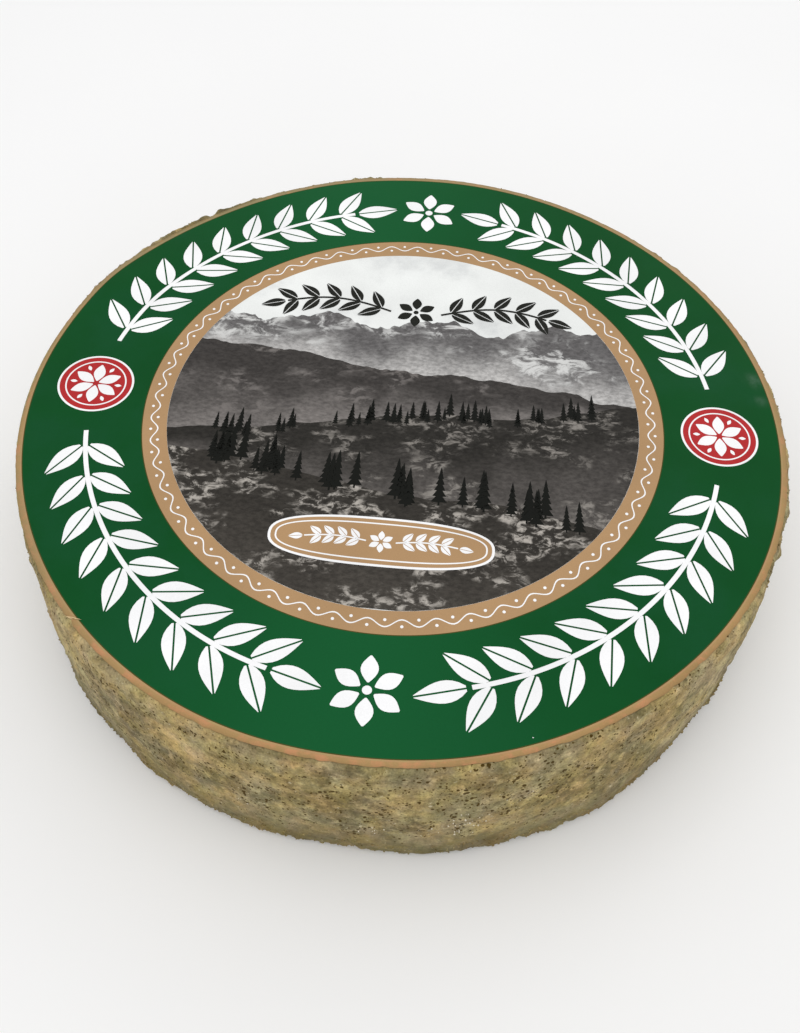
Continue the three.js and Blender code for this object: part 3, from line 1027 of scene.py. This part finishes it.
def label_fleck(finish):
    """A speck of white dust on the green band: one flat lump."""
    x, y = polar(FLECK_RADIUS, math.radians(FLECK_BEARING))
    at = np.array([[x, y, float(label_face(x, y))]])
    points, faces = lumps(at, np.array([FLECK_SIZE]), np.random.default_rng(SEED + 4))
    mesh_piece("label_fleck", points, faces, [finish])


# Flat shapes of the print, in the label's own plane

RIB_GAP = 0.7


def ribbon(path, half_width):
    """A band along a path: the path's points moved to both sides along its normal."""
    along = np.gradient(path, axis=0)
    along /= np.linalg.norm(along, axis=1)[:, None]
    side = np.stack([-along[:, 1], along[:, 0]], -1) * np.reshape(half_width, (-1, 1))
    return np.stack([path - side, path + side], 1)[None]


def ring(inner, outer):
    """A closed band between two closed outlines of as many points."""
    return np.stack([inner, outer])[None]


def circle(radius, sides=96):
    """Points of a circle, or of any outline whose radius is given for each, with the first one repeated."""
    return polar(radius, np.linspace(0, 2 * math.pi, sides + 1))


def disc(radius, cells=8):
    """A round field on a square grid: x = u sqrt(1 - v^2/2), y = v sqrt(1 - u^2/2), u and v from -1 to 1."""
    u, v = np.meshgrid(np.linspace(-1, 1, cells + 1), np.linspace(-1, 1, cells + 1))
    return radius * np.stack([u * np.sqrt(1 - v * v / 2), v * np.sqrt(1 - u * u / 2)], -1)


def petal(start, length, half_width, rows=9):
    """A pointed oval along x: its edges lie half_width sin(pi t) from its middle line."""
    t = np.linspace(0.03, 0.97, rows)[:, None]
    side = np.linspace(-1, 1, 3)[None]
    return np.stack([start + length * t + 0 * side, half_width * np.sin(math.pi * t) * side], -1)


def half_leaf(start, length, half_width, rows=10):
    """Half a leaf along x: from half the rib's gap out to its edge, half_width sin(pi t^0.8) further."""
    t = np.linspace(0.03, 0.985, rows)[:, None]
    side = np.linspace(0, 1, 3)[None]
    rib = RIB_GAP / 2 * half_width / LEAF_HALF_WIDTH
    return np.stack([start + length * t + 0 * side, rib + half_width * np.sin(math.pi * t**0.8) * side], -1)


def placed(shape, at, turn):
    """Copies of a flat grid, each turned by its angle in radians and moved to its place."""
    cos, sin = np.cos(turn)[:, None, None], np.sin(turn)[:, None, None]
    x, y = shape[..., 0], shape[..., 1]
    at = np.asarray(at, float)
    return np.stack([x * cos - y * sin + at[:, 0, None, None], x * sin + y * cos + at[:, 1, None, None]], -1)


def star(at, start, length, half_width, petals=6, turn=0.0):
    """A flower: petals turned evenly round a place."""
    angle = turn + np.arange(petals) * 2 * math.pi / petals
    return placed(petal(start, length, half_width), np.repeat([at], petals, 0), angle)


def twig(path, nodes, length, half_width, slant, stem):
    """A leafy twig: a band along its path, a split leaf to either side at each node and one at its tip."""
    along = np.gradient(path, axis=0)
    heading = np.arctan2(along[:, 1], along[:, 0])
    slant = math.radians(slant)
    half = half_leaf(1.6 * stem, length, half_width)
    leaves = []
    for flip in (-1, 1):
        for side in (-1, 1):
            leaves.append(placed(half * [1, flip], path[nodes], heading[nodes] + side * slant))
        leaves.append(placed(half * [1, flip], path[-1:], heading[-1:]))
    return [ribbon(path, stem), np.concatenate(leaves)]


def mirrored(patches, ways):
    """The same patches once for each pair of signs of x and y."""
    return [patch * np.array(way) for way in ways for patch in patches]


LEFT_RIGHT = [(1, 1), (-1, 1)]
FOUR_WAYS = [(1, 1), (-1, 1), (1, -1), (-1, -1)]

# The garland: its middle line, where its four twigs start and end, their stem and leaves, and the flowers
# between them as a petal's start, length and half width, with a round eye
GARLAND_RADIUS = 126.5
TWIG_START = 11.5
TWIG_END = 74.5
TWIG_STEP = 0.5
LEAF_STEP = 7
LEAF_LENGTH = 19
LEAF_HALF_WIDTH = 3.9
LEAF_SLANT = 47
LEAF_MARGIN = 6
STEM_HALF_WIDTH = 0.9
FLOWER_PETAL = (2.6, 11, 3.1)
FLOWER_EYE = 1.7


def garland_print(finish):
    """White print of the green band: four twigs that grow from the seals to a flower at top and bottom."""
    path = polar(GARLAND_RADIUS, np.radians(np.arange(TWIG_START, TWIG_END, TWIG_STEP)))
    nodes = np.arange(LEAF_MARGIN, len(path) - LEAF_MARGIN, round(LEAF_STEP / TWIG_STEP))
    leafy = twig(path, nodes, LEAF_LENGTH, LEAF_HALF_WIDTH, LEAF_SLANT, STEM_HALF_WIDTH)
    patches = mirrored(leafy, FOUR_WAYS)
    for middle in ((0, GARLAND_RADIUS), (0, -GARLAND_RADIUS)):
        patches.append(star(middle, *FLOWER_PETAL, turn=math.pi / 6))
        patches.append(disc(FLOWER_EYE, 4)[None] + middle)
    ink_piece("garland_print", patches, [finish])


# The two round seals between the twigs: their rim, the thin ring, and the petals and points of the rosette,
# each with its start, length and half width
SEAL_PLACE = 127
SEAL_RADIUS = 14.5
SEAL_RIM = (SEAL_RADIUS + 0.02, SEAL_RADIUS + 0.9)
SEAL_RING = (11.7, 12.3)
SEAL_PETAL = (1.0, 9.6, 2.35)
SEAL_POINT = (7.6, 3.0, 0.75)


def seal_print(red, white):
    """Two red seals with a white rim, and on each a white rosette of six petals in a thin ring."""
    fields = []
    marks = []
    for side in (-1, 1):
        middle = np.array([side * SEAL_PLACE, 0])
        fields.append(disc(SEAL_RADIUS, 16)[None] + middle)
        fields.append(ring(*map(circle, SEAL_RIM)) + middle)
        marks.append(star(middle, *SEAL_PETAL, turn=math.pi / 2))
        marks.append(ring(*map(circle, SEAL_RING)) + middle)
        marks.append(star(middle, *SEAL_POINT, turn=math.pi / 3))
    ink_piece("seal_fields", fields, [red, white], finish_index=[0, 1, 0, 1])
    ink_piece("seal_marks", marks, [white], layer=1)


# The running scroll on the inner ring, and its dots
SCROLL_RADIUS = 100
SCROLL_WAVES = 52
SCROLL_STEPS = 12
SCROLL_SWING = 1.5
SCROLL_HALF_WIDTH = 0.27
SCROLL_DOT = 0.62
SCROLL_DOT_SWING = 1.3


def scroll_print(finish):
    """White print of the inner tan ring: a wave that runs round it, with a dot in each of its hollows."""
    sides = SCROLL_WAVES * SCROLL_STEPS
    angle = np.linspace(0, 2 * math.pi, sides + 1)
    middle = SCROLL_RADIUS + SCROLL_SWING * np.sin(SCROLL_WAVES * angle)
    hollow = (np.arange(2 * SCROLL_WAVES) + 0.5) * math.pi / SCROLL_WAVES
    side = np.where(np.arange(2 * SCROLL_WAVES) % 2, 1, -1)
    dots = placed(disc(SCROLL_DOT, 2), polar(SCROLL_RADIUS + SCROLL_DOT_SWING * side, hollow), hollow)
    wave = ring(circle(middle - SCROLL_HALF_WIDTH, sides), circle(middle + SCROLL_HALF_WIDTH, sides))
    ink_piece("scroll_print", [wave, dots], [finish])


# The landscape in the middle: layers of a skyline's noise, how they fade, how far a ridge goes below the
# next, how its rows crowd downwards, and rounds of the search for a row's ends
SKYLINE_LAYERS = 5
SKYLINE_FADE = 0.55
RIDGE_OVERLAP = 3
RIDGE_ROW_CROWDING = 1.4
EDGE_ROUNDS = 40


def skyline(base, slope, rise, size, seed, pointed=1.0):
    """A ridge's line: base + slope x + rise times layered noise, folded into summits as far as asked."""
    def line(x):
        total = np.zeros_like(x)
        for layer in range(SKYLINE_LAYERS):
            wave = grain(x * 2**layer / size, 0.37 + layer, 0.61, seed + layer)
            total += SKYLINE_FADE**layer * (pointed * (0.5 - 2 * np.abs(wave)) + (1 - pointed) * wave)
        return base + slope * x + rise * total
    return line


def level_line(height):
    """A straight line across the label at one height."""
    return lambda x: np.full_like(x, height)


def disc_field(lower, upper, rows, columns=160, radius=PICTURE_RADIUS - 0.05):
    """The part of the picture's disc between two lines: each row blends the lines and runs from edge to edge.

    A row's ends are where it meets the circle, found by repeating x = sqrt(radius^2 - line(x)^2).
    """
    t = (np.linspace(0, 1, rows) ** RIDGE_ROW_CROWDING)[:, None]

    def line(x):
        return lower(x) * (1 - t) + upper(x) * t

    ends = []
    for side in (-1, 1):
        x = np.full_like(t, side * radius)
        for _ in range(EDGE_ROUNDS):
            x = 0.5 * x + 0.5 * side * np.sqrt(np.maximum(radius**2 - line(x) ** 2, 0))
        ends.append(x)
    x = ends[0] + (ends[1] - ends[0]) * np.linspace(0, 1, columns)[None]
    return np.stack([x, line(x)], -1)[None]


FAR_PEAKS = skyline(44, 0.02, 13, 46, 31)
MIDDLE_RANGE = skyline(19, -0.10, 9, 52, 41, 0.6)
NEAR_SLOPE = skyline(-6, 0.16, 8, 60, 51, 0.2)
FOREGROUND = skyline(-42, -0.12, 6, 55, 61, 0.1)
SHEET_BOTTOM = level_line(-94.7)


def lowered(line, by):
    """A line moved down."""
    return lambda x: line(x) - by


def landscape_print(finishes):
    """Grey ridges one behind the other, the nearer the darker, each from its skyline to below the next."""
    lines = [FAR_PEAKS, MIDDLE_RANGE, NEAR_SLOPE, FOREGROUND, SHEET_BOTTOM]
    names = ["far_peaks", "middle_range", "near_slope", "foreground"]
    for layer, name in enumerate(names):
        nearest = name == "foreground"
        lower = lines[layer + 1] if nearest else lowered(lines[layer + 1], RIDGE_OVERLAP)
        field = disc_field(lower, lines[layer], 24 if nearest else 14)
        piece = ink_piece("picture_" + name, [field], [finishes[layer]], layer=layer)
        rise = np.repeat(np.linspace(0, 1, field.shape[1]), field.shape[2])
        store(piece, "rise", rise)


# A fir's outline: its tiers, its trunk's height and half width, its crown's height, a tier's height and top
# as shares, and the half width of its tip
FIR_TIERS = 6
TRUNK_HEIGHT = 0.25
TRUNK_HALF = 0.06
CROWN_HEIGHT = 2.75
TIER_HEIGHT = 0.97
TIER_TOP = 0.42
FIR_TIP = 0.012


def fir():
    """A fir as wide as 1 and as high as 3 from its foot: tiers that each narrow upwards, on a short trunk."""
    t = np.arange(FIR_TIERS) / FIR_TIERS
    wide = 0.5 * (1 - t) ** 0.9
    foot = TRUNK_HEIGHT + CROWN_HEIGHT * t
    heights = [0, TRUNK_HEIGHT - 0.001]
    halves = [TRUNK_HALF, TRUNK_HALF]
    for low, half in zip(foot, wide):
        heights += [low, low + CROWN_HEIGHT / FIR_TIERS * TIER_HEIGHT]
        halves += [half, TIER_TOP * half]
    halves[-1] = FIR_TIP
    halves = np.array(halves)[:, None]
    return np.stack([halves * [-1, 1], np.array(heights)[:, None] * [1, 1]], -1)


# Firs on two ridges: the ridge's line, how many, least and greatest height, how far down; and their limits
FIR_ROWS = [(NEAR_SLOPE, 54, 7, 13, 3), (FOREGROUND, 40, 12, 21, 5)]
FIR_REACH = 78
FIR_TIP_RADIUS = 92
FIR_FOOT_RADIUS = 91


def fir_print(finish):
    """Firs along two of the ridges: copies of one outline at seeded places and sizes."""
    draw = np.random.default_rng(SEED + 2)
    shape = fir()
    copies = []
    for line, count, low, high, drop in FIR_ROWS:
        x = draw.uniform(-FIR_REACH, FIR_REACH, count)
        foot = line(x) - draw.uniform(1, drop + 2, count)
        tall = draw.uniform(low, high, count)
        inside = (np.hypot(x, foot + tall) < FIR_TIP_RADIUS) & (np.hypot(x, foot) < FIR_FOOT_RADIUS)
        scale = tall / 3
        trees = shape[None] * scale[:, None, None, None] + np.stack([x, foot], -1)[:, None, None]
        copies.append(trees[inside])
    ink_piece("picture_firs", copies, [finish], layer=4)


# The sprig in the sky: its twigs' start, length, height and rise, their nodes, the leaf's length, half width
# and slant with the stem's half width, and the flower's middle, petals and eye
SPRIG_START = 11
SPRIG_LENGTH = 46
SPRIG_HEIGHT = 57
SPRIG_RISE = 6
SPRIG_NODES = (5, 56, 12)
SPRIG_LEAF = (11, 2.3, 46, 0.5)
SPRIG_MIDDLE = (0, 57.5)
SPRIG_PETAL = (1.8, 7.2, 2.1)
SPRIG_EYE = 1.1


def heading_print(finish):
    """A dark sprig across the sky: two mirrored twigs that rise outwards from a flower between them."""
    t = np.linspace(0, 1, 60)
    height = SPRIG_HEIGHT + SPRIG_RISE * np.sin(math.pi * t * 0.9)
    path = np.stack([SPRIG_START + SPRIG_LENGTH * t, height], -1)
    patches = mirrored(twig(path, np.arange(*SPRIG_NODES), *SPRIG_LEAF), LEFT_RIGHT)
    patches.append(star(SPRIG_MIDDLE, *SPRIG_PETAL, turn=math.pi / 2))
    patches.append(disc(SPRIG_EYE, 4)[None] + SPRIG_MIDDLE)
    ink_piece("heading_print", patches, [finish], layer=4)


# The oval cartouche at the foot of the picture: its edging's width, how far in its thin line's two sides lie,
# its flower's petals, and its twigs' start, length and rise, their nodes and leaves as in the sky's sprig
CARTOUCHE_PLACE = (-2, -66)
CARTOUCHE_HALF = (41, 10)
CARTOUCHE_POWER = 2.6
CARTOUCHE_EDGING = 1
CARTOUCHE_LINE = (2.2, 1.6)
CARTOUCHE_PETAL = (0.7, 4.2, 1.2)
CARTOUCHE_TWIG = (5.5, 23, 1.2)
CARTOUCHE_NODES = (4, 36, 8)
CARTOUCHE_LEAF = (5.4, 1.3, 42, 0.3)


def rounded_outline(half, sides=96):
    """A superellipse: x = a |cos|^(2/n) and y = b |sin|^(2/n), with the signs of cos and sin."""
    angle = np.linspace(0, 2 * math.pi, sides + 1)
    cos, sin = np.cos(angle), np.sin(angle)
    power = 2 / CARTOUCHE_POWER
    x = half[0] * np.sign(cos) * np.abs(cos) ** power
    y = half[1] * np.sign(sin) * np.abs(sin) ** power
    return np.stack([x, y], -1)


def rounded_field(half, rows=6, columns=40):
    """The inside of a superellipse: columns from end to end, each as high as the outline there."""
    u = np.sin(np.linspace(-0.985, 0.985, columns) * math.pi / 2)
    high = half[1] * (1 - np.abs(u) ** CARTOUCHE_POWER) ** (1 / CARTOUCHE_POWER)
    v = np.linspace(-1, 1, rows)[:, None]
    return np.stack([half[0] * u + 0 * v, high * v], -1)[None]


def cartouche_print(white, tan):
    """A tan cartouche edged in white, with a thin white line inside it and a white sprig along its middle."""
    a, b = CARTOUCHE_HALF
    edge = rounded_field((a + CARTOUCHE_EDGING, b + CARTOUCHE_EDGING))
    ink_piece("cartouche_edge", [edge + CARTOUCHE_PLACE], [white], layer=5)
    ink_piece("cartouche_field", [rounded_field((a, b)) + CARTOUCHE_PLACE], [tan], layer=6)
    marks = [ring(*(rounded_outline((a - inset, b - inset)) for inset in CARTOUCHE_LINE))]
    t = np.linspace(0, 1, 40)
    start, length, rise = CARTOUCHE_TWIG
    path = np.stack([start + length * t, rise * np.sin(math.pi * t)], -1)
    marks += mirrored(twig(path, np.arange(*CARTOUCHE_NODES), *CARTOUCHE_LEAF), LEFT_RIGHT)
    marks.append(star((0, 0), *CARTOUCHE_PETAL, turn=math.pi / 2))
    ink_piece("cartouche_marks", [mark + CARTOUCHE_PLACE for mark in marks], [white], layer=7)


# The scene round the wheel: half the floor's width, the surround's strength, and the lights as name, place,
# aim, size and power
FLOOR_HALF = 4000
SURROUND_STRENGTH = 0.84
LIGHTS = [
    ("overhead", (-200, -150, 1500), (0, 0, 0), 1400, 4.2),
    ("behind", (560, 900, 950), (60, 0, 70), 500, 0.8),
]


def floor():
    """A pale floor: a wide flat square."""
    points = [(x * FLOOR_HALF, y * FLOOR_HALF, 0) for x, y in ((-1, -1), (1, -1), (1, 1), (-1, 1))]
    mesh = bpy.data.meshes.new("floor")
    mesh.from_pydata((np.array(points) * MM).tolist(), [], [(0, 1, 2, 3)])
    ground = Finish("pale_floor", roughness=0.9, specular=0.1)
    tone = ground.spread(ground.noise(300, 2, 0.5), 0.3, 0.7, 0.985, 1.0)
    mesh.materials.append(ground.done(ground.shade(srgb(250, 250, 250), tone)))
    ground_object = bpy.data.objects.new("floor", mesh)
    bpy.context.scene.collection.objects.link(ground_object)


def soft_light(name, place, aim, size, power):
    """A square area light at a place in millimetres that faces an aim point."""
    data = bpy.data.lights.new(name, "AREA")
    data.size = size * MM
    data.energy = power
    light = bpy.data.objects.new(name, data)
    light.location = Vector(place) * MM
    light.rotation_euler = (Vector(aim) - Vector(place)).to_track_quat("-Z", "Y").to_euler()
    bpy.context.scene.collection.objects.link(light)


def studio():
    """Even, soft light: a bright surround, a large light overhead and one behind for the label's sheen."""
    world = bpy.data.worlds.new("studio")
    world.use_nodes = True
    surround = world.node_tree.nodes["Background"].inputs
    surround["Color"].default_value = (1, 1, 1, 1)
    surround["Strength"].default_value = SURROUND_STRENGTH
    bpy.context.scene.world = world
    bpy.context.scene.view_settings.view_transform = "Standard"
    for light in LIGHTS:
        soft_light(*light)


# The camera's place, the point that it looks at, its roll and its focal length in picture heights
CAMERA_PLACE = (0, -281.8, 381.3)
CAMERA_AIM = (-0.35, -53.5, 70.0)
CAMERA_ROLL = 1.306
FOCAL_LENGTH = 1028.7 / 1033
SENSOR = 36


def camera():
    """A camera at the photograph's viewing angle; its sensor's long side is the picture's height."""
    data = bpy.data.cameras.new("camera")
    data.sensor_width = SENSOR
    data.lens = FOCAL_LENGTH * SENSOR
    data.clip_start = 0.01
    viewer = bpy.data.objects.new("camera", data)
    look = (Vector(CAMERA_AIM) - Vector(CAMERA_PLACE)).to_track_quat("-Z", "Y").to_matrix().to_4x4()
    roll = Matrix.Rotation(math.radians(CAMERA_ROLL), 4, "Z")
    viewer.matrix_world = Matrix.Translation(Vector(CAMERA_PLACE) * MM) @ look @ roll
    bpy.context.scene.collection.objects.link(viewer)
    bpy.context.scene.camera = viewer


# The picture's ridges: name, colours of the crest, the foot and the flecks, the flecks' size and their share
RIDGES = [
    ("print_far_peaks", srgb(98, 96, 96), srgb(182, 180, 178), srgb(212, 212, 210), 11, (0.46, 0.6)),
    ("print_middle_range", srgb(62, 59, 57), srgb(124, 119, 116), srgb(118, 113, 110), 7, (0.46, 0.62)),
    ("print_near_slope", srgb(46, 44, 41), srgb(88, 84, 81), srgb(140, 135, 129), 6, (0.47, 0.63)),
    ("print_foreground", srgb(54, 51, 47), srgb(70, 66, 61), srgb(178, 172, 164), 5, (0.47, 0.62)),
]


def main():
    """Sets up the scene, then makes the wheel, its label and the label's print."""
    camera()
    studio()
    floor()
    rind = rind_finish()
    side = rind_wheel(rind)
    rind_crumbs(side, rind)
    # Glossy drops whose pale colour is partly a painted glint
    whey_glint = print_finish("whey_glint", srgb(228, 219, 196), roughness=0.14)
    moist_beads(side, whey_glint)
    sky = print_finish("print_sky", srgb(238, 240, 238), srgb(206, 208, 208), 40, (0.5, 0.75))
    tan = print_finish("print_tan", srgb(179, 144, 105))
    # The border's painted shade: a greyer tan where the mesh marks it
    shaded_border_tint = srgb(148, 135, 98)
    edging = print_finish("print_edging", srgb(180, 142, 102), srgb(174, 149, 102), 6, border_shade=shaded_border_tint)
    border = print_finish("print_border", srgb(171, 139, 93), srgb(195, 142, 101), 7, border_shade=shaded_border_tint)
    # The green band, with painted sheen at the back and the front and small painted highlights near the right
    green = print_finish("print_green", srgb(9, 75, 32), srgb(15, 77, 40), 60, bright=srgb(18, 88, 46))
    line = print_finish("print_line", srgb(78, 74, 34))
    # The paper's cut edge and hidden underside: darker tan, partly the paper's own colour and partly painted
    # shade of the thin dark line at the label's edge
    shaded_cut_edge = print_finish("label_cut_edge_shade", srgb(150, 122, 88), srgb(118, 98, 66), 3, roughness=0.7)
    white = print_finish("print_white", srgb(250, 250, 251))
    red = print_finish("print_red", srgb(180, 48, 50))
    dark = print_finish("print_dark", srgb(34, 35, 31))
    label_paper([sky, tan, green, line, edging, border, shaded_cut_edge])
    label_sliver(print_finish("paper_fibre", srgb(222, 196, 150)))
    label_fleck(white)
    garland_print(white)
    seal_print(red, white)
    scroll_print(white)
    landscape_print([ridge_finish(*ridge) for ridge in RIDGES])
    fir_print(print_finish("print_firs", srgb(22, 23, 20)))
    heading_print(dark)
    cartouche_print(white, tan)


main()
